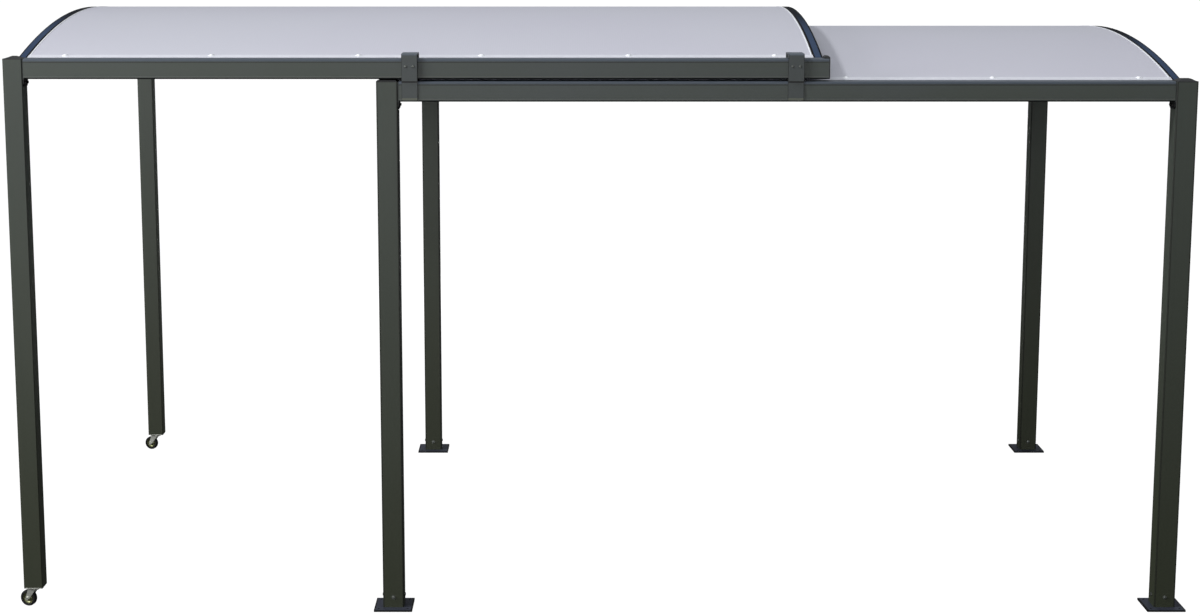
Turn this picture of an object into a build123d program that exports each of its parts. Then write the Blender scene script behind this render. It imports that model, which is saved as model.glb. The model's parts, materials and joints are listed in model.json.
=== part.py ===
"""A retractable carport: a fixed frame on four posts, and a second frame that slides over it.

Both frames carry a barrel-arched roof sheet. The moving frame stands on two castors at its
outer end, and its rails run through four saddle guides that sit on the fixed rails.
X runs along the carport, Y across it and Z up, in millimetres. The ground is at Z = 0, and
the origin lies under the middle of the whole carport as it stands half drawn out.
"""

from build123d import *
import math
import os

# Plan of the two frames
FIXED_LEFT = -1050
FIXED_LENGTH = 3830
MOVING_LEFT = -2787
MOVING_LENGTH = 3851
POST_SPACING = 3020
FIXED_RIGHT = FIXED_LEFT + FIXED_LENGTH
MOVING_RIGHT = MOVING_LEFT + MOVING_LENGTH
HALF = POST_SPACING / 2

# Posts
FIXED_POST = 100
MOVING_POST = 90
POST_WALL = 3
POST_BEVEL = 3

# Rails, one frame above the other
RAIL_HEIGHT = 95
RAIL_WALL = 3
RAIL_CORNER = 8
RAIL_INNER_BEVEL = 4
RAIL_GAP = 10
FIXED_TOP = 2555
LIFT = RAIL_HEIGHT + RAIL_GAP
MOVING_TOP = FIXED_TOP + LIFT
GROOVE_WIDTH = 2.4
GROOVE_DEPTH = 1.2
GROOVE_FROM_EDGE = 14

# Arched roof, its radius taken to the upper face of the sheet
ROOF_RADIUS = 5558
FIXED_CROWN = 2727
SHEET = 10
SHEET_HALF_WIDTH = 1440
HOOP_WIDTH = 54
HOOP_DEPTH = 60
HOOP_BEVEL = 4
HOOP_INSET_AT_POST = 30
HOOP_INSET_AT_END = 14
REBATE_DEPTH = 14
REBATE_PLAY = 0.2
SHEET_OVERLAP = 8
HOOP_PLATE = 5
HOOP_PLATE_WIDTH = 64
HOOP_PLATE_MARGIN = 6
EAVES_BAR_WIDTH = 40
EAVES_BAR_DEPTH = 30
EAVES_BAR_WALL = 2
EAVES_BAR_BEVEL = 2
EAVES_BAR_AT = 1365

# Feet of the fixed posts
BASE_SIDE = 184
BASE_THICK = 10
BASE_HOLE = 11
BASE_HOLE_SPACING = 138
SPIGOT_HEIGHT = 110
SPIGOT_WALL = 4
FIT = 0.5

# Caps and brackets
CAP_RIM = 4
CAP_MARGIN = 6
LOW_CAP_RISE = 5
CAP_RISE = 11
LOW_CAP_CROWN = 82
FIXED_CAP_CROWN = 46
MOVING_CAP_CROWN = 20
CAP_PLUG = 22
CAP_PLUG_WALL = 2.5
FLANGE = 6
FLANGE_DROP = 35
FLANGE_BEVEL = 12
END_CAP = 5
END_LIP_LENGTH = 27
END_LIP_RISE = 12

# Saddle guides
GUIDE_LENGTH = 74
GUIDE_PLATE = 5
GUIDE_PAD = 12
GUIDE_PLAY = 1
GUIDE_TOP_PAD = 18
GUIDE_SKIRT = 91
GUIDE_STEP_ABOVE = 2
GUIDE_BEVEL = 6
GUIDE_STEP_BEVEL = 4
GUIDE_BEND = 3
LEFT_GUIDE_AT = -893
RIGHT_GUIDE_AT = 905
PAD_LENGTH = 62
PAD_HEIGHT = 80
PAD_WIDTH = 60

# Castors
CASTOR_HEIGHT = 105
CASTOR_TRAIL = 38
CASTOR_TURN = -15
WHEEL_RADIUS = 40
WHEEL_WIDTH = 26
TYRE_THICK = 13
HUB_RADIUS = WHEEL_RADIUS - TYRE_THICK
HUB_WIDTH = 18
AXLE = 5
AXLE_PLAY = 0.1
NUT_RADIUS = 8.5
NUT_HEIGHT = 5
CASTOR_PLATE = 4
RACE_RADIUS = 24
RACE_HEIGHT = 10
RACE_PLAY = 0.4
KING_PIN = 6
KING_PIN_PLAY = 0.3
KING_NUT = 10
KING_NUT_HEIGHT = 5
FORK_SHEET = 3
FORK_PLAY = 2
FORK_CROWN_LENGTH = 60
FORK_CROWN_WIDTH = 50
FORK_CROWN_TRAIL = 8
FORK_CROWN_BEVEL = 12
FORK_SHOULDER_TRAIL = 12.5
FORK_EYE = 9.5
FORK_SHOULDER = 38

FRONT = -1
BACK = 1


def bevelled(width, depth, bevel):
    """A rectangle with its four corners cut off at 45 degrees."""
    return chamfer(Rectangle(width, depth).vertices(), bevel)


def plain_tube(side, wall, length):
    """A sharp-edged square tube along Z that slips inside another, its foot on the ground."""
    inside = side - 2 * wall
    return extrude(Rectangle(side, side) - Rectangle(inside, inside), length)


def along_x(section, start, end):
    """Carries a section drawn in the Y and Z plane along X from start to end."""
    return extrude(Plane.YZ.offset(start) * section, end - start)


def post(side, foot, top, x, y):
    """A square tube with bevelled long edges."""
    inside = side - 2 * POST_WALL
    section = bevelled(side, side, POST_BEVEL) - Rectangle(inside, inside)
    return Pos(x, y, foot) * extrude(section, top - foot)


def fixed_post_x(end):
    """The middle of a fixed post, at the left end or the right end."""
    return FIXED_LEFT + FIXED_POST / 2 if end == "left" else FIXED_RIGHT - FIXED_POST / 2


MOVING_POST_X = MOVING_LEFT + MOVING_POST / 2


def base(x, y):
    """A foot plate with four anchor holes and the spigot that the post slips over."""
    plate = extrude(Rectangle(BASE_SIDE, BASE_SIDE), BASE_THICK)
    holes = GridLocations(BASE_HOLE_SPACING, BASE_HOLE_SPACING, 2, 2)
    plate -= holes * Cylinder(BASE_HOLE / 2, 3 * BASE_THICK)
    side = FIXED_POST - 2 * POST_WALL - 2 * FIT
    spigot = plain_tube(side, SPIGOT_WALL, SPIGOT_HEIGHT)
    return Pos(x, y, 0) * (plate + Pos(0, 0, BASE_THICK) * spigot)


def plug_tube(side):
    """The short tube that holds a cap inside a post."""
    return plain_tube(side - 2 * POST_WALL - 2 * FIT, CAP_PLUG_WALL, CAP_PLUG)


def post_cap(side, top, rise, crown, x, y):
    """A cap whose rim stands on the tube's end, with a four-sided hump above and a plug below."""
    rim = extrude(bevelled(side, side, POST_BEVEL), CAP_RIM)
    foot = side - 2 * CAP_MARGIN
    lean = math.degrees(math.atan((foot - crown) / 2 / rise))
    hump = extrude(Rectangle(foot, foot), rise, taper=lean)
    cap = rim + Pos(0, 0, CAP_RIM) * hump + Pos(0, 0, -CAP_PLUG) * plug_tube(side)
    return Pos(x, y, top - CAP_RIM) * cap


def rail_section(width):
    """A rounded box with a fine groove near both edges of its two upright faces."""
    outer = RectangleRounded(width, RAIL_HEIGHT, RAIL_CORNER)
    inner = bevelled(width - 2 * RAIL_WALL, RAIL_HEIGHT - 2 * RAIL_WALL, RAIL_INNER_BEVEL)
    groove_at = RAIL_HEIGHT - 2 * GROOVE_FROM_EDGE
    grooves = GridLocations(width, groove_at, 2, 2) * Rectangle(2 * GROOVE_DEPTH, GROOVE_WIDTH)
    return outer - inner - grooves


def rail(width, top, start, end, side):
    section = Pos(side * HALF, top - RAIL_HEIGHT / 2) * rail_section(width)
    return along_x(section, start, end)


def rail_flange(width, top, start, side):
    """The plate on the end of a rail, which reaches below it and is screwed to the post."""
    height = RAIL_HEIGHT - CAP_RIM + FLANGE_DROP
    plate = Rectangle(width - 2 * CAP_MARGIN, height)
    plate = chamfer(plate.vertices().group_by(Axis.Y)[0], FLANGE_BEVEL)
    section = Pos(side * HALF, top - CAP_RIM - height / 2) * plate
    return along_x(section, start, start + FLANGE)


def rail_end_cap(side):
    """Closes the free end of a moving rail, with a low lip over the rail's upper face."""
    face = RectangleRounded(MOVING_POST, RAIL_HEIGHT, RAIL_CORNER)
    middle = Pos(side * HALF, MOVING_TOP - RAIL_HEIGHT / 2)
    cap = along_x(middle * face, MOVING_RIGHT - END_CAP, MOVING_RIGHT)
    slack = 2 * RAIL_WALL + 2 * FIT
    plug = bevelled(MOVING_POST - slack, RAIL_HEIGHT - slack, RAIL_INNER_BEVEL)
    cap += along_x(middle * plug, MOVING_RIGHT - END_CAP - CAP_PLUG, MOVING_RIGHT - END_CAP)
    lip = Box(END_LIP_LENGTH, MOVING_POST - 2 * RAIL_CORNER, 2 * END_LIP_RISE)
    lip = chamfer(lip.faces().sort_by(Axis.Z)[-1].edges(), END_LIP_RISE / 2)
    lip = split(lip, Plane.XY, keep=Keep.TOP)
    return cap + Pos(MOVING_RIGHT - END_LIP_LENGTH / 2, side * HALF, MOVING_TOP) * lip


def roof_axis(crown):
    """The line about which the whole arch of a roof turns."""
    return Axis((0, 0, crown - ROOF_RADIUS), (1, 0, 0))


def arch(profile, crown, half_width):
    """Turns a profile, drawn in X and Z at the crown, evenly to both sides of the middle."""
    angle = math.degrees(math.asin(half_width / ROOF_RADIUS))
    axis = roof_axis(crown)
    start = Plane.XZ * profile
    return revolve(start.rotate(axis, -angle), axis, 2 * angle)


def hoop_profile(outer_x, facing, crown):
    """The hoop's section: a bar level with the sheet, and a rebate that the sheet's end lies in."""
    low = crown - HOOP_DEPTH
    seat = crown - SHEET - REBATE_PLAY
    wall = HOOP_WIDTH - REBATE_DEPTH
    outline = [(0, low), (0, crown - HOOP_BEVEL), (HOOP_BEVEL, crown), (wall, crown)]
    outline += [(wall, seat), (HOOP_WIDTH, seat), (HOOP_WIDTH, low)]
    return make_face(Polyline(*[(outer_x + facing * x, z) for x, z in outline], close=True))


def hoop(outer_x, facing, crown, reach):
    """An arched bar from one rail to the other, with a plate at each foot."""
    bar = arch(hoop_profile(outer_x, facing, crown), crown, reach + HOOP_DEPTH)
    middle = outer_x + facing * HOOP_WIDTH / 2
    bar &= Pos(middle, 0, crown) * Box(3 * HOOP_WIDTH, 2 * (reach - HOOP_PLATE), 2 * ROOF_RADIUS)
    foot_top = crown - arch_drop(reach) + HOOP_PLATE_MARGIN
    plate_height = HOOP_DEPTH + 2 * HOOP_PLATE_MARGIN
    plate = bevelled(HOOP_PLATE_WIDTH, plate_height, HOOP_PLATE_MARGIN)
    plate = extrude(Plane.XZ * plate, HOOP_PLATE)
    for side in (FRONT, BACK):
        at_y = side * (reach - HOOP_PLATE / 2) + HOOP_PLATE / 2
        bar += Pos(middle, at_y, foot_top - plate_height / 2) * plate
    return bar


def arch_drop(reach):
    """How far the sheet's upper face falls from the crown at this distance from the middle."""
    return ROOF_RADIUS - math.sqrt(ROOF_RADIUS**2 - reach**2)


def roof_sheet(start, end, crown):
    profile = Pos((start + end) / 2, crown - SHEET / 2) * Rectangle(end - start, SHEET)
    return arch(profile, crown, SHEET_HALF_WIDTH)


def eaves_bar(start, end, crown, side):
    """The bar under the sheet's long edge, tilted with the sheet, from hoop to hoop."""
    slope = math.degrees(math.asin(EAVES_BAR_AT / ROOF_RADIUS))
    outer = bevelled(EAVES_BAR_WIDTH, EAVES_BAR_DEPTH, EAVES_BAR_BEVEL)
    inner = Rectangle(EAVES_BAR_WIDTH - 2 * EAVES_BAR_WALL, EAVES_BAR_DEPTH - 2 * EAVES_BAR_WALL)
    sagitta = EAVES_BAR_WIDTH**2 / (8 * ROOF_RADIUS)
    drop = SHEET + sagitta + EAVES_BAR_DEPTH / 2
    section = Pos(0, ROOF_RADIUS - drop) * (outer - inner)
    section = Rot(0, 0, -side * slope) * section
    return along_x(Pos(0, crown - ROOF_RADIUS) * section, start, end)


def guide_section():
    """Half round the moving rail and down over the fixed one: a saddle bent from plate."""
    inside = MOVING_POST / 2 + GUIDE_PLAY + GUIDE_PAD
    skirt = FIXED_POST / 2
    foot = FIXED_TOP - GUIDE_SKIRT
    step = FIXED_TOP + GUIDE_STEP_ABOVE
    top = MOVING_TOP + GUIDE_PLAY + GUIDE_TOP_PAD

    def leg(grow):
        shelf = step + GUIDE_PLATE - grow
        low = [(skirt + grow, foot), (skirt + grow, shelf)]
        return low + [(inside + grow, shelf), (inside + grow, top + grow)]

    outer = leg(GUIDE_PLATE)
    inner = leg(0)
    outline = outer + [(-y, z) for y, z in reversed(outer)] + [(-y, z) for y, z in inner]
    outline += list(reversed(inner))
    return make_face(Polyline(*outline, close=True))


def guide(x, side):
    section = Pos(side * HALF, 0) * guide_section()
    saddle = along_x(section, x - GUIDE_LENGTH / 2, x + GUIDE_LENGTH / 2)
    saddle = chamfer(saddle.edges().filter_by(Axis.Y).group_by(Axis.Z)[1], GUIDE_STEP_BEVEL)
    saddle = chamfer(saddle.edges().filter_by(Axis.Y).group_by(Axis.Z)[0], GUIDE_BEVEL)
    bends = saddle.edges().filter_by(Axis.X).group_by(Axis.Z)[-1]
    return chamfer(bends, GUIDE_BEND)


def guide_pads(side):
    """Glide blocks inside each saddle: two beside the rail, one above it and one below."""
    pads = []
    beside = MOVING_POST / 2 + GUIDE_PLAY + GUIDE_PAD / 2
    rail_middle = MOVING_TOP - RAIL_HEIGHT / 2
    for x in (LEFT_GUIDE_AT, RIGHT_GUIDE_AT):
        for at_y in (-beside, beside):
            block = Box(PAD_LENGTH, GUIDE_PAD, PAD_HEIGHT)
            pads.append(Pos(x, side * HALF + at_y, rail_middle) * block)
        above = MOVING_TOP + GUIDE_PLAY + GUIDE_TOP_PAD / 2
        pads.append(Pos(x, side * HALF, above) * Box(PAD_LENGTH, PAD_WIDTH, GUIDE_TOP_PAD))
        skid = RAIL_GAP - GUIDE_PLAY
        pads.append(Pos(x, side * HALF, FIXED_TOP + skid / 2) * Box(PAD_LENGTH, PAD_WIDTH, skid))
    return Compound(children=pads)


CROWN_TOP = CASTOR_HEIGHT - CASTOR_PLATE - RACE_HEIGHT


def castor(y):
    """Where a castor stands, turned on its king pin; its trail points to the left."""
    return Pos(MOVING_POST_X, y, 0) * Rot(0, 0, CASTOR_TURN)


def castor_plate(y):
    """Closes the post's foot, and carries the swivel race and the king pin with its nut."""
    plate = extrude(bevelled(MOVING_POST, MOVING_POST, POST_BEVEL), CASTOR_PLATE)
    plate += Pos(0, 0, CASTOR_PLATE) * plug_tube(MOVING_POST)
    plate += extrude(Circle(RACE_RADIUS), -(RACE_HEIGHT - RACE_PLAY))
    nut_top = RACE_HEIGHT + FORK_SHEET + RACE_PLAY
    plate += extrude(Circle(KING_PIN), -nut_top - KING_NUT_HEIGHT / 2)
    plate += Pos(0, 0, -nut_top) * extrude(RegularPolygon(KING_NUT, 6), -KING_NUT_HEIGHT)
    return Pos(MOVING_POST_X, y, CASTOR_HEIGHT - CASTOR_PLATE) * plate


def castor_fork(y):
    """A crown that turns on the king pin, and two tapered legs with rounded eyes."""
    inside = WHEEL_WIDTH / 2 + FORK_PLAY
    crown_foot = CROWN_TOP - FORK_SHEET
    crown = bevelled(FORK_CROWN_LENGTH, FORK_CROWN_WIDTH, FORK_CROWN_BEVEL)
    crown = Pos(-FORK_CROWN_TRAIL, 0) * crown - Circle(KING_PIN + KING_PIN_PLAY)
    eye = Pos(-CASTOR_TRAIL, WHEEL_RADIUS) * Circle(FORK_EYE)
    shoulder = Pos(-FORK_SHOULDER_TRAIL, crown_foot - 1) * Rectangle(FORK_SHOULDER, 2)
    outline = make_hull(eye.edges() + shoulder.edges())
    hole = Pos(-CASTOR_TRAIL, WHEEL_RADIUS) * Circle(AXLE)
    leg = extrude(Plane.XZ * (outline - hole), FORK_SHEET)
    legs = [Pos(0, at, 0) * leg for at in (inside + FORK_SHEET, -inside)]
    fork = Pos(0, 0, crown_foot) * extrude(crown, FORK_SHEET) + legs
    return castor(y) * fork


def castor_axle(y):
    """A bolt through the fork's eyes, with its head and its nut."""
    half = WHEEL_WIDTH / 2 + FORK_PLAY + FORK_SHEET
    shank = Cylinder(AXLE, 2 * half, rotation=(90, 0, 0))
    head = Plane.XZ * extrude(RegularPolygon(NUT_RADIUS, 6), NUT_HEIGHT)
    bolt = shank + Pos(0, -half, 0) * head + Pos(0, half + NUT_HEIGHT, 0) * head
    return castor(y) * Pos(-CASTOR_TRAIL, 0, WHEEL_RADIUS) * bolt


def on_axle(turned, y):
    """Lays a piece that was turned about Z on a wheel's axle."""
    return castor(y) * Pos(-CASTOR_TRAIL, 0, WHEEL_RADIUS) * Rot(90, 0, 0) * turned


def wheel_hub(y):
    """The wheel's disc, which stands back from the tyre's flanks on both sides."""
    return on_axle(Cylinder(HUB_RADIUS, HUB_WIDTH) - Cylinder(AXLE + AXLE_PLAY, 2 * HUB_WIDTH), y)


def tyre(y):
    """A ring that sits on the hub."""
    return on_axle(Cylinder(WHEEL_RADIUS, WHEEL_WIDTH) - Cylinder(HUB_RADIUS, 2 * WHEEL_WIDTH), y)


FIXED_CAPS = {"left": (LOW_CAP_RISE, LOW_CAP_CROWN), "right": (CAP_RISE, FIXED_CAP_CROWN)}


def fixed_parts():
    parts = {}
    inner_reach = HALF - FIXED_POST / 2
    post_top = FIXED_TOP - CAP_RIM
    rail_start = FIXED_LEFT + FIXED_POST + FLANGE
    rail_end = FIXED_RIGHT - FIXED_POST - FLANGE
    caps = []
    flanges = []
    for name, side in (("front", FRONT), ("back", BACK)):
        y = side * HALF
        for end in ("left", "right"):
            x = fixed_post_x(end)
            parts[f"{name}_{end}_post"] = post(FIXED_POST, BASE_THICK, post_top, x, y)
            parts[f"{name}_{end}_base"] = base(x, y)
            rise, crown = FIXED_CAPS[end]
            caps.append(post_cap(FIXED_POST, FIXED_TOP, rise, crown, x, y))
        parts[f"{name}_fixed_rail"] = rail(FIXED_POST, FIXED_TOP, rail_start, rail_end, side)
        flanges.append(rail_flange(FIXED_POST, FIXED_TOP, rail_start - FLANGE, side))
        flanges.append(rail_flange(FIXED_POST, FIXED_TOP, rail_end, side))
        parts[f"{name}_left_guide"] = guide(LEFT_GUIDE_AT, side)
        parts[f"{name}_right_guide"] = guide(RIGHT_GUIDE_AT, side)
        parts[f"{name}_guide_pads"] = guide_pads(side)
    parts["fixed_post_caps"] = Compound(children=caps)
    parts["fixed_rail_flanges"] = Compound(children=flanges)
    left = FIXED_LEFT + HOOP_INSET_AT_POST
    right = FIXED_RIGHT - HOOP_INSET_AT_POST
    parts["fixed_left_hoop"] = hoop(left, 1, FIXED_CROWN, inner_reach)
    parts["fixed_right_hoop"] = hoop(right, -1, FIXED_CROWN, inner_reach)
    parts.update(roof("fixed", left, right, FIXED_CROWN))
    return parts


def roof(name, left, right, crown):
    """The sheet and its two eaves bars, between the outer faces of two hoops."""
    parts = {}
    held = HOOP_WIDTH - SHEET_OVERLAP
    parts[f"{name}_roof_sheet"] = roof_sheet(left + held, right - held, crown)
    for side_name, side in (("front", FRONT), ("back", BACK)):
        bar = eaves_bar(left + HOOP_WIDTH, right - HOOP_WIDTH, crown, side)
        parts[f"{side_name}_{name}_eaves_bar"] = bar
    return parts


def moving_parts():
    parts = {}
    inner_reach = HALF - MOVING_POST / 2
    post_top = MOVING_TOP - CAP_RIM
    flange_start = MOVING_LEFT + MOVING_POST
    rail_start = flange_start + FLANGE
    rail_end = MOVING_RIGHT - END_CAP
    caps = []
    flanges = []
    end_caps = []
    castor_plates = []
    for name, side in (("front", FRONT), ("back", BACK)):
        y = side * HALF
        parts[f"{name}_moving_post"] = post(MOVING_POST, CASTOR_HEIGHT, post_top, MOVING_POST_X, y)
        parts[f"{name}_moving_rail"] = rail(MOVING_POST, MOVING_TOP, rail_start, rail_end, side)
        end_caps.append(rail_end_cap(side))
        cap = post_cap(MOVING_POST, MOVING_TOP, CAP_RISE, MOVING_CAP_CROWN, MOVING_POST_X, y)
        caps.append(cap)
        flanges.append(rail_flange(MOVING_POST, MOVING_TOP, flange_start, side))
        castor_plates.append(castor_plate(y))
        parts[f"{name}_castor_fork"] = castor_fork(y)
        parts[f"{name}_castor_axle"] = castor_axle(y)
        parts[f"{name}_wheel_hub"] = wheel_hub(y)
        parts[f"{name}_tyre"] = tyre(y)
    parts["moving_post_caps"] = Compound(children=caps)
    parts["moving_rail_flanges"] = Compound(children=flanges)
    parts["rail_end_caps"] = Compound(children=end_caps)
    parts["castor_plates"] = Compound(children=castor_plates)
    crown = FIXED_CROWN + LIFT
    left = MOVING_LEFT + HOOP_INSET_AT_POST
    right = MOVING_RIGHT - HOOP_INSET_AT_END
    parts["moving_left_hoop"] = hoop(left, 1, crown, inner_reach)
    parts["moving_right_hoop"] = hoop(right, -1, crown, inner_reach)
    parts.update(roof("moving", left, right, crown))
    return parts


os.makedirs("parts", exist_ok=True)
for node, solid in {**fixed_parts(), **moving_parts()}.items():
    export_step(solid, f"parts/{node}.step")
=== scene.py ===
import json
import math

import bmesh
import bpy
from mathutils import Matrix, Vector


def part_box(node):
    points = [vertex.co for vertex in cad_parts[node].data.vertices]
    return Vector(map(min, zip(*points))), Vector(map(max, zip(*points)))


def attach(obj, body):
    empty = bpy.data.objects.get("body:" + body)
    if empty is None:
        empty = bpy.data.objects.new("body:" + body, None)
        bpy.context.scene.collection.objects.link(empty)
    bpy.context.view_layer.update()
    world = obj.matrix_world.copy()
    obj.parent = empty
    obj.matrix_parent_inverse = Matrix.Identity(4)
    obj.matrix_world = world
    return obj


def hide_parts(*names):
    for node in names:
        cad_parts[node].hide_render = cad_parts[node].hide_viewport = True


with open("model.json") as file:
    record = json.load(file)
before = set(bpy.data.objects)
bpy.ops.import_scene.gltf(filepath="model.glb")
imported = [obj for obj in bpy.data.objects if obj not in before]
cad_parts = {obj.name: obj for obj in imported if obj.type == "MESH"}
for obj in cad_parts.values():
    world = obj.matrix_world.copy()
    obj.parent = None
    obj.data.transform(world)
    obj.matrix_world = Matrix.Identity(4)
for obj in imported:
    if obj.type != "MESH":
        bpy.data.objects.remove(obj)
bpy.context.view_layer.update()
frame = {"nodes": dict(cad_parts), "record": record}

FRONT = -1
BACK = 1
SIDES = (("front", FRONT), ("back", BACK))
ROOFS = ("fixed", "moving")
MM = 0.001


# Measures that are read from the frame

def middle(node):
    low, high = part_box(node)
    return (low + high) / 2


ROW = middle("back_fixed_rail").y
FIXED_RAIL_LOW, FIXED_RAIL_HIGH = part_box("back_fixed_rail")
MOVING_RAIL_LOW, MOVING_RAIL_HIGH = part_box("back_moving_rail")
RAILS = {
    "fixed": (FIXED_RAIL_LOW, FIXED_RAIL_HIGH),
    "moving": (MOVING_RAIL_LOW, MOVING_RAIL_HIGH),
}
FIXED_POST = 100 * MM
FLANGE_DROP = 35 * MM
SHEET = 10 * MM
ROOF_RADIUS = 5558 * MM
POST_XS = [middle(f"front_{end}_post").x for end in ("left", "right", "moving")]
HOOP_PLATE_MARGIN = 5 * MM
HOOP_OUTER_XS = [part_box(f"{roof}_left_hoop")[0].x + HOOP_PLATE_MARGIN for roof in ROOFS]
HOOP_OUTER_XS += [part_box(f"{roof}_right_hoop")[1].x - HOOP_PLATE_MARGIN for roof in ROOFS]
GUIDE_XS = [middle(f"front_{end}_guide").x for end in ("left", "right")]
GUIDE_STEP = 2557 * MM
CASTOR_TURN = math.radians(-15)


def crown_of(roof):
    """The height of a roof sheet's upper face at the middle of the carport."""
    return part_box(f"{roof}_roof_sheet")[1].z


def roof_height(roof, y):
    """The height of the sheet's upper face at this distance from the middle."""
    return crown_of(roof) - ROOF_RADIUS + math.sqrt(ROOF_RADIUS**2 - y**2)


def roof_slope(y):
    return math.asin(y / ROOF_RADIUS)


# Materials

class Wire:
    """One output of a node, which plain arithmetic can be done on."""

    def __init__(self, finish, socket):
        self.finish = finish
        self.socket = socket

    def maths(self, operation, *values):
        return self.finish.node("Math", {"operation": operation}, *values)

    def __add__(self, other):
        return self.maths("ADD", self, other)

    def __sub__(self, other):
        return self.maths("SUBTRACT", self, other)

    def __rsub__(self, other):
        return self.maths("SUBTRACT", other, self)

    def __mul__(self, other):
        return self.maths("MULTIPLY", self, other)

    def __truediv__(self, other):
        return self.maths("DIVIDE", self, other)

    def __abs__(self):
        return self.maths("ABSOLUTE", self)

    __radd__ = __add__
    __rmul__ = __mul__

    def least(self, *others):
        """The smallest of this value and others."""
        smallest = self
        for other in others:
            smallest = self.maths("MINIMUM", smallest, other)
        return smallest

    def band(self, low, high, soft):
        """1 between low and high, with a smooth fall to 0 on both sides."""
        return self.rise(low - soft, low) * (1 - self.rise(high, high + soft))

    def nearest(self, marks):
        """How far this value is from the nearest of some fixed marks."""
        away = [abs(self - mark) for mark in marks]
        return away[0].least(*away[1:])

    def rise(self, start, end):
        """0 up to start, 1 past end and a smooth rise between them."""
        settings = {"interpolation_type": "SMOOTHSTEP"}
        return self.finish.node("MapRange", settings, self, start, end)


class Finish:
    """A material of the carport, put together from nodes."""

    def __init__(self, name, constants=None):
        self.material = bpy.data.materials.new(name)
        self.material.use_nodes = True
        self.tree = self.material.node_tree
        self.shader = self.tree.nodes["Principled BSDF"]
        self.set(constants or {})
        self.place = self.node("TexCoord", out="Object")

    def node(self, kind, settings=None, *values, out=0, **named):
        """Adds a node, sets it up, then fills its sockets with numbers, colours or wires."""
        made = self.tree.nodes.new("ShaderNode" + kind)
        for setting, value in (settings or {}).items():
            setattr(made, setting, value)
        for socket, value in [*enumerate(values), *named.items()]:
            self.fill(made.inputs[socket], value)
        return Wire(self, made.outputs[out])

    def fill(self, socket, value):
        if isinstance(value, Wire):
            self.tree.links.new(value.socket, socket)
        else:
            socket.default_value = value

    def axes(self):
        """X, Y and Z of the place on the piece, as three wires."""
        split = self.node("SeparateXYZ", None, self.place)
        return [Wire(self, out) for out in split.socket.node.outputs]

    def noise(self, scale, detail=2.0, roughness=0.5, stretch=(1, 1, 1)):
        """Soft noise from 0 to 1, drawn out along the axes whose stretch is small."""
        at = self.node("Mapping", None, self.place, Scale=stretch)
        return self.node("TexNoise", None, at, Scale=scale, Detail=detail, Roughness=roughness)

    def blend(self, share, first, second):
        """A colour between two others."""
        made = self.tree.nodes.new("ShaderNodeMix")
        made.data_type = "RGBA"
        self.fill(made.inputs["Factor"], share)
        for socket, value in ((made.inputs[6], first), (made.inputs[7], second)):
            self.fill(socket, value if isinstance(value, Wire) else (*value, 1))
        return Wire(self, made.outputs[2])

    def set(self, sockets):
        """Fills the shader's sockets, which are named as Blender names them."""
        for socket, value in sockets.items():
            self.fill(self.shader.inputs[socket], value)

    def bump(self, height, distance, strength):
        normal = self.node("Bump", None, Height=height, Distance=distance, Strength=strength)
        self.set({"Normal": normal})


BLACK = (0.004, 0.004, 0.005)
# Painted shade: the posts' colour towards the ground
OLIVE_LOW_SHADE = (0.029, 0.034, 0.019)
# Painted shade along the posts' corners
CORNER_SHADE = (0.006, 0.007, 0.005)
# Painted highlight along the lower edge of a rail
PALE_EDGE_HIGHLIGHT = (0.14, 0.15, 0.14)
# Painted reflection of the sky along the top of a rail
SKY_REFLECTION_BAND = (0.072, 0.088, 0.110)
# Painted reflection of the sky on the top of a guide
SKY_REFLECTION_TOP = (0.090, 0.108, 0.130)
# Painted highlight on the lower part of a guide
OLIVE_EDGE_HIGHLIGHT = (0.13, 0.14, 0.105)
# Painted shade on the hoops towards the crown
CROWN_SHADE_BLUE = (0.003, 0.004, 0.008)
BLOTCH_VIOLET = (0.030, 0.028, 0.050)
RIB_SPACING = 5.5 * MM


def powder_coat(name, colour, cool, along, roughness=0.45, sheen=0.3, shade=None):
    """Satin powder coat on an extrusion: a soft drift of tone, die lines and a fine orange peel.

    A shade, where one is given, is a function that changes the coat from place to place.
    """
    finish = Finish(name, {"Specular IOR Level": sheen})
    drift = finish.noise(1.6, detail=3)
    stretch = [160, 160, 160]
    stretch["XYZ".index(along)] = 0.6
    lines = finish.noise(1, detail=1, stretch=stretch)
    peel = finish.noise(420, detail=1)
    tone = (drift * 0.7 + lines * 0.3).rise(0.35, 0.7)
    coat = finish.blend(tone, colour, cool)
    finish.set({"Base Color": shade(finish, coat) if shade else coat})
    finish.set({"Roughness": roughness + (peel - 0.5) * 0.10 + (lines - 0.5) * 0.12})
    finish.bump(peel * 0.6 + lines * 0.4, 0.00025, 0.35)
    return finish.material


def post_shade(finish, coat):
    """Painted shade that grows darker and more olive towards the ground, and painted shade along
    the corners.
    """
    x, y, z = finish.axes()
    # Painted shade: the posts grow darker and more olive towards the ground
    height = z + (finish.noise(1.1) - 0.5) * 0.5
    low_shaded = finish.blend(height.rise(-0.2, 2.9), OLIVE_LOW_SHADE, coat)
    # Painted shade that darkens the posts along their corners
    corner = x.nearest(POST_XS).least(abs(abs(y) - ROW))
    return finish.blend(corner.rise(41 * MM, 45 * MM) * 0.7, low_shaded, CORNER_SHADE)


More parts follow.
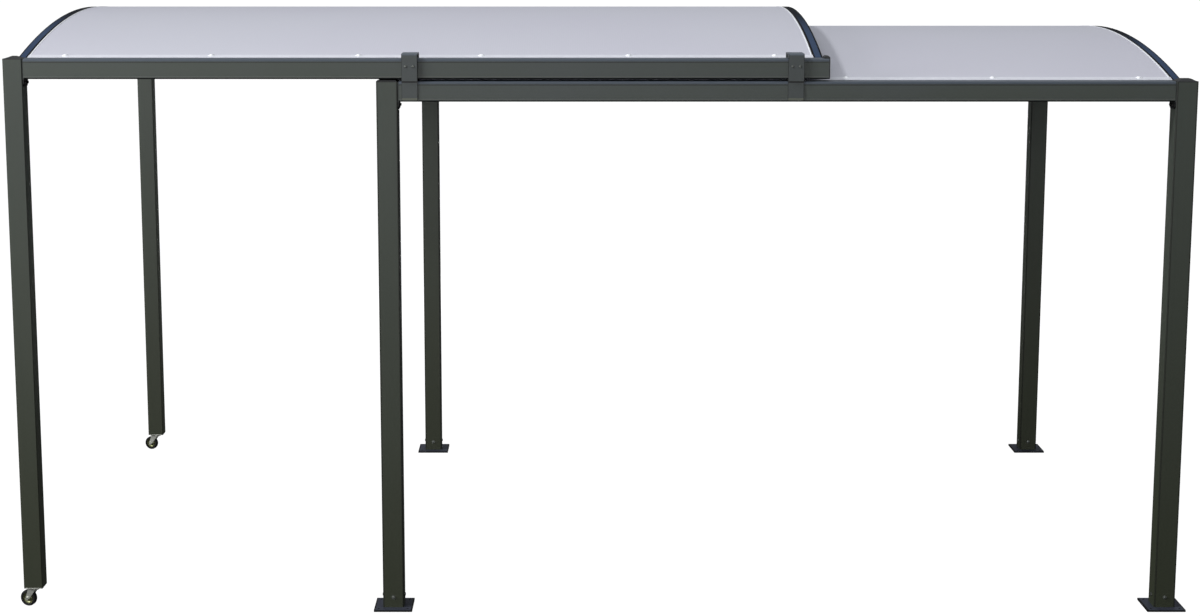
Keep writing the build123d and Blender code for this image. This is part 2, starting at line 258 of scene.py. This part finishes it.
def rail_shade(low, high):
    """Painted light on a rail: a bluish painted sky reflection along its top, a painted groove
    shadow under it, a pale painted highlight near its foot and a black painted shadow along its
    lower edge.
    """
    def shade(finish, coat):
        z = finish.axes()[2]
        # Painted highlight: a pale line near the rail's foot
        bead = z.band(low + 9 * MM, low + 14 * MM, 2 * MM)
        # Painted shadow of a groove under the rail's top
        groove_shadow = z.band(high - 18 * MM, high - 15 * MM, 2 * MM)
        highlighted = finish.blend(bead * 0.3, coat, PALE_EDGE_HIGHLIGHT)
        groove_shaded = finish.blend(groove_shadow * 0.5, highlighted, BLACK)
        # Painted reflection of the sky: a bluish band along the rail's top
        sky_reflected = finish.blend(z.rise(high - 14 * MM, high - 11 * MM), groove_shaded, SKY_REFLECTION_BAND)
        # Painted shadow: black along the rail's lower edge
        return finish.blend(z.rise(low + 5 * MM, low + 7 * MM), BLACK, sky_reflected)
    return shade


def flange_shade(rail_low):
    """A flange's tail, below the rail, is nearly black."""
    def shade(finish, coat):
        z = finish.axes()[2]
        return finish.blend(z.rise(rail_low - 3 * MM, rail_low), BLACK, coat)
    return shade


def guide_shade(finish, coat):
    """Painted light on a guide: painted shade on its side edges, a black painted shadow under the
    step, a pale painted sky reflection on its top, a pale painted highlight on its lower part and
    a black painted shadow at its foot.
    """
    x, _, z = finish.axes()
    low = FIXED_RAIL_LOW.z
    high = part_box("front_left_guide")[1].z
    # Painted highlight: a pale band on the guide's lower part
    low_highlight = z.band(low + 9 * MM, low + 16 * MM, 3 * MM)
    # Painted shadow: a black line under the step
    step_shadow = z.band(GUIDE_STEP - 7 * MM, GUIDE_STEP - 1 * MM, 1 * MM)
    # Painted shade along the guide's side edges
    edge = x.nearest(GUIDE_XS).rise(34.5 * MM, 36.2 * MM)
    low_highlighted = finish.blend(low_highlight * 0.7, coat, OLIVE_EDGE_HIGHLIGHT)
    # Painted reflection of the sky: a pale bluish top
    top_reflected = finish.blend(z.rise(high - 9 * MM, high - 6 * MM), low_highlighted, SKY_REFLECTION_TOP)
    step_shadowed = finish.blend(step_shadow, top_reflected, BLACK)
    edge_shaded = finish.blend(edge * 0.8, step_shadowed, BLACK)
    # Painted shadow: black at the guide's foot
    return finish.blend(z.rise(low + 5 * MM, low + 8 * MM), BLACK, edge_shaded)


def hoop_shade(finish, coat):
    """The bent bar has black painted shade along both its edges, and painted shade that darkens it
    towards the crown.
    """
    x, y, _ = finish.axes()
    # Painted shade: the bar darkens towards the crown
    bar = finish.blend(abs(y).rise(0.35, 1.0), CROWN_SHADE_BLUE, coat)
    inwards = x.nearest(HOOP_OUTER_XS)
    # Painted shade: black along the bar's outer and inner edges
    between_edges = inwards.rise(8 * MM, 11 * MM) * (1 - inwards.rise(36 * MM, 38 * MM))
    return finish.blend(between_edges, BLACK, bar)


def foot_shade(finish, coat):
    """Foot plates have black painted shade on their cut edges and round the rim of their upper
    face, and blotches on that face.
    """
    x, _, z = finish.axes()
    blotch = finish.noise(38, detail=3).rise(0.35, 0.7)
    top = finish.blend(blotch * 0.6, coat, BLOTCH_VIOLET)
    # Painted shade: a black rim round the plate's upper face
    rim = x.nearest(POST_XS).rise(84 * MM, 87 * MM)
    # Painted shade: black on the plate's cut edges
    return finish.blend(z.rise(8.4 * MM, 9.4 * MM), BLACK, finish.blend(rim, top, BLACK))


def opal_sheet():
    """Opal twin-wall sheet, whose ribs run round the arch and show faintly through the skin."""
    finish = Finish("opal_sheet", {"Coat Weight": 0.15, "Coat Roughness": 0.35})
    x = finish.axes()[0]
    ribs = x.maths("PINGPONG", x, RIB_SPACING) / RIB_SPACING
    rib_line = ribs.rise(0.0, 0.28)
    cloud = finish.noise(0.9, detail=2)
    body = finish.blend(cloud.rise(0.3, 0.7), (0.562, 0.560, 0.636), (0.575, 0.580, 0.646))
    finish.set({"Base Color": finish.blend(rib_line, (0.545, 0.543, 0.618), body)})
    finish.set({"Roughness": 0.42 + finish.noise(60, detail=2) * 0.08})
    finish.bump(rib_line, 0.0002, 0.4)
    return finish.material


def moulded_plastic(name, colour, lighter, roughness):
    finish = Finish(name)
    grain = finish.noise(900, detail=2)
    cloud = finish.noise(25, detail=2)
    finish.set({"Base Color": finish.blend(cloud.rise(0.35, 0.7), colour, lighter)})
    finish.set({"Roughness": roughness + (grain - 0.5) * 0.12})
    finish.bump(grain, 0.0001, 0.5)
    return finish.material


def plated_metal(name, colour, shade, roughness):
    """Bright plate with a faint cloud of tone and fine rolling lines."""
    finish = Finish(name, {"Metallic": 1.0})
    cloud = finish.noise(70, detail=3)
    lines = finish.noise(1, detail=2, stretch=(40, 900, 900))
    tone = (cloud * 0.5 + lines * 0.5).rise(0.3, 0.7)
    finish.set({"Base Color": finish.blend(tone, shade, colour)})
    finish.set({"Roughness": roughness + cloud * 0.08})
    finish.bump(lines, 0.00008, 0.4)
    return finish.material


def rubber():
    finish = Finish("tyre_rubber", {"Specular IOR Level": 0.12})
    grain = finish.noise(700, detail=3)
    scuff = finish.noise(90, detail=4, roughness=0.7).rise(0.55, 0.75)
    finish.set({"Base Color": finish.blend(scuff, (0.012, 0.012, 0.012), (0.05, 0.048, 0.045))})
    finish.set({"Roughness": 0.68 + scuff * 0.15})
    finish.bump(grain, 0.0002, 0.5)
    return finish.material


RAIL_GREYS = ((0.063, 0.074, 0.064), (0.068, 0.078, 0.076))
FLANGE_GREYS = ((0.062, 0.071, 0.066), (0.068, 0.077, 0.074))


def rail_coats():
    """A coat for each frame's rails, since the bands on them go by height."""
    for roof, (low, high) in RAILS.items():
        name = f"{roof}_rail_coat"
        yield name, powder_coat(name, *RAIL_GREYS, "X", shade=rail_shade(low.z, high.z))


def flange_coats():
    for roof, (low, _) in RAILS.items():
        name = f"{roof}_flange_coat"
        yield name, powder_coat(name, *FLANGE_GREYS, "Y", shade=flange_shade(low.z))


FINISHES = {
    "rail_coat": powder_coat("rail_coat", *RAIL_GREYS, "X"),
    **dict(rail_coats()),
    **dict(flange_coats()),
    "post_coat": powder_coat(
        "post_coat", (0.056, 0.066, 0.057), (0.062, 0.072, 0.061), "Z", shade=post_shade
    ),
    "plate_coat": powder_coat(
        "plate_coat", (0.060, 0.069, 0.069), (0.068, 0.077, 0.078), "Y", shade=guide_shade
    ),
    "hoop_coat": powder_coat(
        "hoop_coat", (0.032, 0.052, 0.100), (0.040, 0.064, 0.116), "Y", 0.55, 0.05, hoop_shade
    ),
    "foot_coat": powder_coat(
        "foot_coat", (0.040, 0.047, 0.064), (0.050, 0.057, 0.075), "X", 0.5, 0.2, foot_shade
    ),
    "opal": opal_sheet(),
    "cap": moulded_plastic("cap_plastic", (0.008, 0.009, 0.010), (0.013, 0.014, 0.015), 0.55),
    "nylon": moulded_plastic("glide_nylon", (0.020, 0.020, 0.021), (0.030, 0.030, 0.030), 0.55),
    "strip": moulded_plastic("pale_strip", (0.68, 0.69, 0.75), (0.72, 0.73, 0.79), 0.35),
    "white": moulded_plastic("white_plastic", (0.86, 0.88, 0.92), (0.92, 0.94, 0.97), 0.22),
    "zinc": plated_metal("zinc_plate", (0.66, 0.67, 0.62), (0.50, 0.51, 0.46), 0.40),
    "dark_steel": plated_metal("dark_steel", (0.20, 0.21, 0.20), (0.12, 0.13, 0.12), 0.42),
    "black_oxide": plated_metal("black_oxide", (0.045, 0.045, 0.045), (0.03, 0.03, 0.03), 0.5),
    "gold_zinc": plated_metal("gold_zinc", (0.30, 0.31, 0.18), (0.17, 0.18, 0.09), 0.34),
    "rubber": rubber(),
}
FINISH_OF_SLOT = {
    "frame_paint": "rail_coat",
    "guide_paint": "plate_coat",
    "hoop_paint": "hoop_coat",
    "foot_paint": "foot_coat",
    "roof_sheet": "opal",
    "cap_plastic": "cap",
    "glide_nylon": "nylon",
    "plated_steel": "zinc",
    "hub_metal": "gold_zinc",
    "tyre": "rubber",
}


def finish_of(name, slot):
    """Posts, rails and their flanges have coats of their own; the rest goes by slot."""
    if name.endswith("_post"):
        return "post_coat"
    for roof in ROOFS:
        if name.endswith(f"_{roof}_rail"):
            return f"{roof}_rail_coat"
        if name == f"{roof}_rail_flanges":
            return f"{roof}_flange_coat"
    return FINISH_OF_SLOT[slot]


def dress_nodes():
    for row in frame["record"]["subparts"]:
        name = row["node"]
        finish = finish_of(name, row["material_slot"])
        mesh = frame["nodes"][name].data
        mesh.materials.clear()
        mesh.materials.append(FINISHES[finish])


dress_nodes()


# Shapes and where they go

def turned(outline, ring=False, steps=36):
    """A round piece about Z from (radius, height) points; a ring's outline is closed."""
    mesh = bmesh.new()
    points = [mesh.verts.new((radius, 0, height)) for radius, height in outline]
    ends = points[1:] + points[:1] if ring else points[1:]
    edges = [mesh.edges.new(pair) for pair in zip(points, ends)]
    profile = points + edges
    bmesh.ops.spin(
        mesh, geom=profile, axis=(0, 0, 1), angle=math.tau, steps=steps, use_merge=True
    )
    return cleaned(mesh)


def cleaned(mesh):
    bmesh.ops.remove_doubles(mesh, verts=mesh.verts, dist=1e-6)
    bmesh.ops.recalc_face_normals(mesh, faces=mesh.faces)
    return mesh


def in_metres(outline):
    return [(radius * MM, height * MM) for radius, height in outline]


def mirrored(half):
    """The outline of a ring that is alike on both sides of Z = 0, from its upper half."""
    return half + [(radius, -height) for radius, height in reversed(half)]


def joined(parts):
    """One mesh out of several pairs of a mesh and its place."""
    whole = bmesh.new()
    for mesh, place in parts:
        data = bpy.data.meshes.new("part")
        mesh.to_mesh(data)
        data.transform(place)
        whole.from_mesh(data)
        bpy.data.meshes.remove(data)
    return whole


def facing(place, way):
    """Where a piece that is made on Z = 0 stands at this place, its top turned this way."""
    return Matrix.Translation(place) @ Vector(way).to_track_quat("Z", "Y").to_matrix().to_4x4()


def on_roof(roof, x, y, lift):
    """Where a piece stands on a sheet, or this much above it."""
    slope = roof_slope(y)
    up = Vector((0, math.sin(slope), math.cos(slope)))
    return facing(Vector((x, y, roof_height(roof, y))) + up * lift, up)


SOFT_ANGLE = math.radians(35)


def piece(name, mesh, finish, slot, body, *stands_for):
    """Makes a mesh a piece of the scene that moves with a body of the frame."""
    for face in mesh.faces:
        face.smooth = True
    for edge in mesh.edges:
        edge.smooth = len(edge.link_faces) == 2 and edge.calc_face_angle() < SOFT_ANGLE
    data = bpy.data.meshes.new(name)
    mesh.to_mesh(data)
    mesh.free()
    data.materials.append(FINISHES[finish])
    made = bpy.data.objects.new(name, data)
    bpy.context.scene.collection.objects.link(made)
    if stands_for:
        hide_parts(*stands_for)
    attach(made, body)


# Screws, bolts and buttons

def washer(hole, outer, thick):
    return turned([(hole, 0), (outer, 0), (outer, thick), (hole, thick)], ring=True, steps=24)


def hex_head(radius, height):
    """A six-sided head with its upper edges eased."""
    mesh = bmesh.new()
    bmesh.ops.create_cone(
        mesh, cap_ends=True, segments=6, radius1=radius, radius2=radius, depth=height
    )
    bmesh.ops.translate(mesh, vec=(0, 0, height / 2), verts=mesh.verts)
    rim = [edge for edge in mesh.edges if all(vert.co.z > height / 2 for vert in edge.verts)]
    bmesh.ops.bevel(
        mesh, geom=rim, offset=height / 5, affect="EDGES", segments=2, profile=0.5, material=-1
    )
    return mesh


def bolt(radius, height):
    """A bolt's head on its washer."""
    thick = radius / 5
    ring = washer(radius / 2, radius * 1.25, thick)
    return joined([(ring, Matrix()), (hex_head(radius, height), facing((0, 0, thick), (0, 0, 1)))])


def socket_screw(radius, height):
    """A low round head with a six-sided socket sunk in it."""
    dome = [(radius, 0), (radius, height * 0.4), (radius * 0.9, height * 0.8)]
    dome += [(radius * 0.7, height), (radius * 0.48, height)]
    mesh = turned(dome, steps=24)
    lip = [edge for edge in mesh.edges if edge.is_boundary and edge.verts[0].co.z > height / 2]
    made = bmesh.ops.extrude_edge_only(mesh, edges=lip)["geom"]
    well = [item for item in made if isinstance(item, bmesh.types.BMVert)]
    bmesh.ops.translate(mesh, vec=(0, 0, -height * 0.6), verts=well)
    bmesh.ops.holes_fill(mesh, edges=mesh.edges, sides=0)
    return cleaned(mesh)


FOOT_BOLT_HEIGHT = 60 * MM
FLANGE_BOLT_SPREAD = 22 * MM


def foot_bolts():
    """A bolt in each face of a fixed post, into the spigot of its base."""
    shape = bolt(8 * MM, 4.5 * MM)
    places = []
    for name, _ in SIDES:
        for end in ("left", "right"):
            post = middle(f"{name}_{end}_post")
            for way in ((1, 0, 0), (-1, 0, 0), (0, 1, 0), (0, -1, 0)):
                at = Vector((post.x, post.y, FOOT_BOLT_HEIGHT)) + Vector(way) * FIXED_POST / 2
                places.append((shape, facing(at, way)))
    piece("foot_bolts", joined(places), "dark_steel", "plated_steel", "fixed_frame")


def flange_bolts(body, faces, rail_low):
    """Two bolts through the tail of each rail flange into the post behind it."""
    shape = bolt(6.5 * MM, 5.3 * MM)
    height = rail_low.z - FLANGE_DROP / 2
    places = []
    for x, way in faces:
        for _, side in SIDES:
            for offset in (-FLANGE_BOLT_SPREAD, FLANGE_BOLT_SPREAD):
                at = (x, side * ROW + offset, height)
                places.append((shape, facing(at, (way, 0, 0))))
    piece(f"{body}_flange_bolts", joined(places), "black_oxide", "plated_steel", body)


GUIDE_PLATE = 5 * MM
GUIDE_SCREW_SPREAD = 17.5 * MM
GUIDE_SCREW_ABOVE = 13 * MM
LOWER_SCREW_DROP = 40 * MM


def guide_screws():
    """Screws that hold the glide blocks in a saddle, and its inner leg on the fixed rail."""
    shape = socket_screw(6 * MM, 3.4 * MM)
    places = []
    for name, side in SIDES:
        for end in ("left", "right"):
            low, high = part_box(f"{name}_{end}_guide")
            rail = (MOVING_RAIL_LOW.z + MOVING_RAIL_HIGH.z) / 2 + GUIDE_SCREW_ABOVE
            lower = FIXED_RAIL_HIGH.z - LOWER_SCREW_DROP
            inner_leg = side * (ROW - FIXED_POST / 2 - GUIDE_PLATE)
            faces = [(low.y, -1, rail), (high.y, 1, rail), (inner_leg, -side, lower)]
            for y, way, z in faces:
                for offset in (-GUIDE_SCREW_SPREAD, GUIDE_SCREW_SPREAD):
                    at = ((low.x + high.x) / 2 + offset, y, z)
                    places.append((shape, facing(at, (0, way, 0))))
    piece("guide_screws", joined(places), "dark_steel", "plated_steel", "fixed_frame")


foot_bolts()
guide_screws()
flange_bolts("fixed_frame", [(FIXED_RAIL_LOW.x, 1), (FIXED_RAIL_HIGH.x, -1)], FIXED_RAIL_LOW)
flange_bolts("moving_frame", [(MOVING_RAIL_LOW.x, 1)], MOVING_RAIL_LOW)


# Strips and buttons on the sheets

# Sections of the trim, in millimetres off the sheet's upper edge
STRIP = 1.2
STRIP_SECTION = [(-86, 0), (0, 0), (0, -5), (STRIP, -5), (STRIP, STRIP), (-86, STRIP)]
BEAD_SECTION = [(2.5, 0), (9, 0), (8.6, 1.1), (7.8, 1.4), (3.4, 1.4), (2.5, 1.1)]
GASKET_SECTION = [
    (2.3, 0), (0, 0), (0, -9), (-5.2, -9), (-5.2, -0.4), (-4.4, 0.2), (1.6, 0.8), (2.3, 0.6),
]
SHEET_EDGE = -SHEET / MM
EAVES_GASKET_SECTION = [
    (0, -5.2), (0, SHEET_EDGE), (-14, SHEET_EDGE), (-14, -11.2), (1.4, -11.2), (1.4, -5.2),
]


def button():
    """The broad washer and domed cover that hold the sheet down on its eaves bar."""
    flat = [(0, 0), (15, 0), (15, 1.2), (14, 1.9), (10, 2.2)]
    dome = [(9.4, 3.6), (7.8, 4.9), (4.8, 5.8), (0, 6.2)]
    return turned(in_metres(flat + dome))


BUTTON_ROW = 1365 * MM
BUTTONS_FROM_MIDDLE = (291 * MM, 988 * MM, 1681 * MM)
MIDDLE_BUTTON = {"fixed": 872 * MM, "moving": -857 * MM}


def roof_buttons(roof):
    shape = button()
    places = [
        (shape, on_roof(roof, MIDDLE_BUTTON[roof] + way * away, side * BUTTON_ROW, STRIP * MM))
        for away in BUTTONS_FROM_MIDDLE
        for way in (-1, 1)
        for _, side in SIDES
    ]
    piece(f"{roof}_roof_buttons", joined(places), "white", "roof_sheet", f"{roof}_frame")


def edge_strips(roof):
    """A strip that lies under the buttons and is folded down over each long edge of the sheet."""
    piece(
        f"{roof}_edge_strips", joined(along_eaves(roof, STRIP_SECTION)),
        "strip", "roof_sheet", f"{roof}_frame",
    )


def along_eaves(roof, section):
    """A profile run along both long edges of a sheet, from (out, up) in mm off its upper edge."""
    low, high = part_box(f"{roof}_roof_sheet")
    strips = []
    for _, side in SIDES:
        mesh = bmesh.new()
        corners = [mesh.verts.new((low.x, side * out * MM, up * MM)) for out, up in section]
        face = mesh.faces.new(corners)
        bmesh.ops.recalc_face_normals(mesh, faces=mesh.faces)
        made = bmesh.ops.extrude_face_region(mesh, geom=[face])["geom"]
        far = [item for item in made if isinstance(item, bmesh.types.BMVert)]
        bmesh.ops.translate(mesh, vec=(high.x - low.x, 0, 0), verts=far)
        y = side * high.y
        turn = Matrix.Rotation(-roof_slope(y), 4, "X")
        strips.append((cleaned(mesh), Matrix.Translation((0, y, roof_height(roof, y))) @ turn))
    return strips


def round_ends(roof, section):
    """A profile turned about the roof's axis along both curved ends of a sheet.

    The profile is given as (inwards, up) in mm off the upper edge of the sheet's end.
    """
    low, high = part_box(f"{roof}_roof_sheet")
    crown = crown_of(roof)
    angle = roof_slope(high.y)
    axis_at = Vector((0, 0, crown - ROOF_RADIUS))
    strips = []
    for x, way in ((low.x, -1), (high.x, 1)):
        mesh = bmesh.new()
        corners = [
            mesh.verts.new((x - way * inwards * MM, 0, crown + up * MM)) for inwards, up in section
        ]
        face = mesh.faces.new(corners)
        turn = Matrix.Rotation(angle, 3, "X")
        bmesh.ops.rotate(mesh, verts=corners, cent=axis_at, matrix=turn)
        bmesh.ops.spin(
            mesh, geom=[face, *face.edges, *corners], cent=axis_at, axis=(1, 0, 0),
            angle=-2 * angle, steps=60,
        )
        strips.append((cleaned(mesh), Matrix()))
    return strips


def end_strips(roof):
    """A narrow white bead that holds down the gasket at each curved end."""
    piece(
        f"{roof}_end_strips", joined(round_ends(roof, BEAD_SECTION)),
        "white", "roof_sheet", f"{roof}_frame",
    )


def sheet_gaskets(roof):
    """Rubber that fills the gap between sheet and hoop, and that the long edges sit in."""
    parts = round_ends(roof, GASKET_SECTION) + along_eaves(roof, EAVES_GASKET_SECTION)
    piece(f"{roof}_sheet_gaskets", joined(parts), "rubber", "tyre", f"{roof}_frame")


for roof in ROOFS:
    edge_strips(roof)
    end_strips(roof)
    sheet_gaskets(roof)
    roof_buttons(roof)


# Castors

def on_axle(side):
    """Where a round piece that is made about Z sits on a wheel's axle."""
    way = Matrix.Rotation(CASTOR_TURN, 3, "Z") @ Vector((0, 1, 0))
    return facing(middle(f"{side}_tyre"), way)


def round_the_axle(side, half):
    """A ring on a wheel's axle, from the outer half of its outline in millimetres."""
    ring = turned(mirrored(in_metres(half)), ring=True, steps=64)
    return joined([(ring, on_axle(side))])


def tyre_tread(side):
    """Round shoulders and two shallow grooves."""
    half = [(27, 11.5), (29, 13), (33, 13), (36.5, 12.2), (39, 9.8), (40, 7.2)]
    half += [(40, 5.0), (38.6, 4.4), (38.6, 3.4), (40, 2.8)]
    return round_the_axle(side, half)


def wheel_disc(side):
    """A pressed disc with a rolled rim, dished towards a thick boss."""
    half = [(5.1, 11), (9, 11), (10.5, 9.5), (11.5, 6), (14, 4.2), (19, 4.0)]
    half += [(22, 5.5), (23.5, 8), (25, 9.4), (27, 9.4)]
    return round_the_axle(side, half)


def race_ring(y):
    """The seal round the swivel race."""
    outline = [(20, 94.2), (24.6, 94.2), (25.4, 95.4), (25.4, 98.2), (24.6, 99.6), (20, 99.6)]
    ring = turned(in_metres(outline), ring=True, steps=48)
    return joined([(ring, Matrix.Translation((middle("castor_plates").x, y, 0)))])


for name, side in SIDES:
    wheel = f"{name}_wheel"
    piece(f"{name}_tyre_tread", tyre_tread(name), "rubber", "tyre", wheel, f"{name}_tyre")
    piece(
        f"{name}_wheel_disc", wheel_disc(name), "gold_zinc", "hub_metal",
        wheel, f"{name}_wheel_hub",
    )
    piece(f"{name}_race_ring", race_ring(side * ROW), "nylon", "glide_nylon", "moving_frame")


# Lights, floor and camera

FLOOR_REACH = 400
FLOOR_GLOW = 1.12
FLOOR_SHADE = 0.12


def floor():
    """A pale floor, which the camera sees as white with a faint shadow on it."""
    mesh = bmesh.new()
    bmesh.ops.create_grid(mesh, x_segments=1, y_segments=1, size=FLOOR_REACH)
    data = bpy.data.meshes.new("floor")
    mesh.to_mesh(data)
    mesh.free()
    sheet = bpy.data.objects.new("floor", data)
    bpy.context.scene.collection.objects.link(sheet)
    finish = Finish("pale_floor", {"Base Color": (0.07, 0.07, 0.07, 1), "Roughness": 1.0})
    finish.set({"Specular IOR Level": 0.0})
    glow = finish.node("Emission", None, (1, 1, 1, 1), FLOOR_GLOW)
    pale = finish.node("BsdfDiffuse", None, (0.9, 0.9, 0.9, 1))
    dull = Wire(finish, finish.shader.outputs[0])
    seen = finish.node("MixShader", None, FLOOR_SHADE, glow, pale)
    from_camera = finish.node("LightPath", None, out="Is Camera Ray")
    whole = finish.node("MixShader", None, from_camera, dull, seen)
    finish.fill(finish.tree.nodes["Material Output"].inputs["Surface"], whole)
    data.materials.append(finish.material)


def soft_light(name, place, aim, width, power, colour=(1, 1, 1), mirrored_in_coats=True):
    lamp = bpy.data.lights.new(name, "AREA")
    lamp.shape = "SQUARE"
    lamp.size = width
    lamp.energy = power
    lamp.color = colour
    holder = bpy.data.objects.new(name, lamp)
    holder.visible_camera = False
    holder.visible_glossy = mirrored_in_coats
    holder.location = place
    holder.rotation_euler = (Vector(aim) - Vector(place)).to_track_quat("-Z", "Y").to_euler()
    bpy.context.scene.collection.objects.link(holder)


def sun(name, strength, way, spread):
    """A distant light that shines this way, its disc so many degrees wide."""
    lamp = bpy.data.lights.new(name, "SUN")
    lamp.energy = strength
    lamp.angle = math.radians(spread)
    holder = bpy.data.objects.new(name, lamp)
    holder.rotation_euler = Vector(way).to_track_quat("-Z", "Y").to_euler()
    bpy.context.scene.collection.objects.link(holder)


def sky(strength):
    """A dim grey sky on the carport, which the camera sees as white."""
    world = bpy.data.worlds.new("studio")
    world.use_nodes = True
    nodes = world.node_tree.nodes
    links = world.node_tree.links
    dim = nodes["Background"]
    dim.inputs["Color"].default_value = (0.93, 0.96, 1.0, 1)
    dim.inputs["Strength"].default_value = strength
    white = nodes.new("ShaderNodeBackground")
    white.inputs["Color"].default_value = (1, 1, 1, 1)
    from_camera = nodes.new("ShaderNodeLightPath")
    mix = nodes.new("ShaderNodeMixShader")
    links.new(from_camera.outputs["Is Camera Ray"], mix.inputs[0])
    links.new(dim.outputs[0], mix.inputs[1])
    links.new(white.outputs[0], mix.inputs[2])
    links.new(mix.outputs[0], nodes["World Output"].inputs["Surface"])
    bpy.context.scene.world = world


# The camera as solved from the photo, in pixels, metres and degrees
PHOTO_WIDTH = 1200
PHOTO_HEIGHT = 616
FOCAL_PIXELS = 2078.3
VIEW_CENTRE = (567.94, 239.85)
CAMERA_PLACE = (-0.15615, -11.2296, 3.3062)
CAMERA_DIP = 8.80


def photo_camera():
    lens = bpy.data.cameras.new("camera")
    lens.sensor_width = 36
    lens.lens = lens.sensor_width * FOCAL_PIXELS / PHOTO_WIDTH
    lens.shift_x = (PHOTO_WIDTH / 2 - VIEW_CENTRE[0]) / PHOTO_WIDTH
    lens.shift_y = (VIEW_CENTRE[1] - PHOTO_HEIGHT / 2) / PHOTO_WIDTH
    camera = bpy.data.objects.new("camera", lens)
    camera.location = CAMERA_PLACE
    camera.rotation_euler = (math.radians(90 - CAMERA_DIP), 0, 0)
    bpy.context.scene.collection.objects.link(camera)
    bpy.context.scene.camera = camera


floor()
sky(strength=0.26)
sun("high_sun", strength=1.5, way=(1.25, 0.35, -1.0), spread=7)
sun("low_sun", strength=1.25, way=(0.12, 1.0, -0.01), spread=25)
soft_light(
    "back", place=(0.5, 8.5, 1.1), aim=(0.3, 0, 1.3), width=1.8, power=330,
    mirrored_in_coats=False,
)
soft_light(
    "right", place=(10, 1.5, 1.1), aim=(0, 0, 1.3), width=1.8, power=45,
    mirrored_in_coats=False,
)
soft_light("left", place=(-9, -6.5, 4.5), aim=(-1, -1, 2.4), width=3, power=560)
soft_light(
    "top", place=(0, 0.5, 10), aim=(0, 0, 0), width=10, power=280, colour=(0.95, 0.97, 1.0)
)
photo_camera()
bpy.context.scene.view_settings.view_transform = "Standard"
